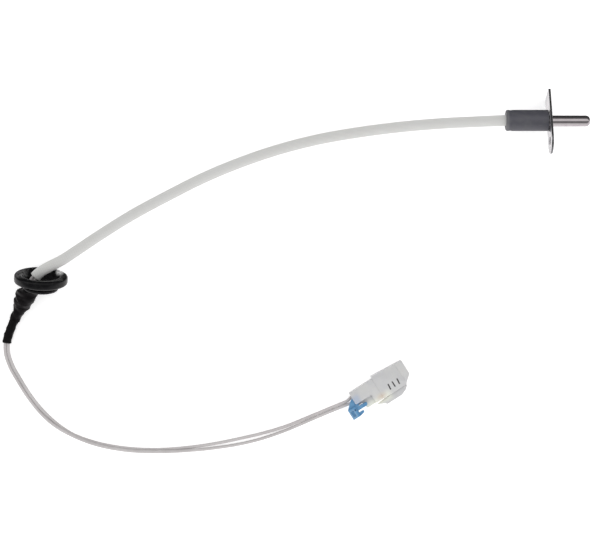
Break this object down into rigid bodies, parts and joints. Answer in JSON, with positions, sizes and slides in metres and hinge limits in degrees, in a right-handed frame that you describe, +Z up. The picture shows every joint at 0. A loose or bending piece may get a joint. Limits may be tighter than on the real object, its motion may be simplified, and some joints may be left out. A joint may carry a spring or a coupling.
{
  "type": "flame sensor probe",
  "caption": "Straight steel sensor probe with a screw-on flange and rubber boot, on a braided lead that runs through a panel grommet to a latching plug.",
  "frame": {"origin": "on the table under the middle of the probe head, which is the tube, the flange and the boot", "axes": "+X along the probe tube towards its tip, +Z up from the table; the lead runs back along -X and the plug lies at -Y"},
  "size_m": [0.32, 0.1989, 0.0284],
  "materials": {
    "polished_steel": "polished stainless steel",
    "bright_plate": "bright rolled steel, stamped",
    "tinned_copper": "dull tinned copper",
    "brass": "stamped brass",
    "bead_glass": "fired glass bead, opaque",
    "white_ceramic": "unglazed white ceramic",
    "grey_silicone": "moulded silicone, satin",
    "white_glass_braid": "braided glass-fibre yarn",
    "pale_grey_insulation": "smooth extruded insulation",
    "black_rubber": "moulded rubber, satin",
    "black_tape": "wound self-adhesive tape",
    "black_sleeve": "shrunk sleeving, dull",
    "white_nylon": "moulded natural nylon, slightly translucent",
    "blue_nylon": "moulded blue nylon"
  },
  "bodies": {
    "harness": {"probe_sheath": "polished_steel", "mounting_flange": "bright_plate", "flange_collar": "bright_plate", "sensor_bead": "bead_glass", "ceramic_insulator": "white_ceramic", "sensor_lead_a": "tinned_copper", "sensor_lead_b": "tinned_copper", "crimp_splice_a": "tinned_copper", "crimp_splice_b": "tinned_copper", "silicone_boot": "grey_silicone", "braid_sleeve": "white_glass_braid", "lead_wire_a": "pale_grey_insulation", "lead_wire_b": "pale_grey_insulation", "cable_grommet": "black_rubber", "tape_wrap": "black_tape", "shrink_tail": "black_sleeve", "connector_housing": "white_nylon", "terminal_a": "brass", "terminal_b": "brass"},
    "lock": {"secondary_lock": "blue_nylon"},
    "lever": {"latch_lever": "white_nylon"}
  },
  "joints": [
    {"name": "lock_slide", "type": "slide", "parent": "harness", "child": "lock", "axis": [0.8443, 0.5358, 0], "range_m": [0, 0.004]},
    {"name": "latch_rock", "type": "hinge", "parent": "harness", "child": "lever", "pos_m": [-0.084, -0.14808, 0.0042], "axis": [0, 0, -1], "range_deg": [0, 4.5], "stiffness_Nm_per_rad": 0.3}
  ]
}
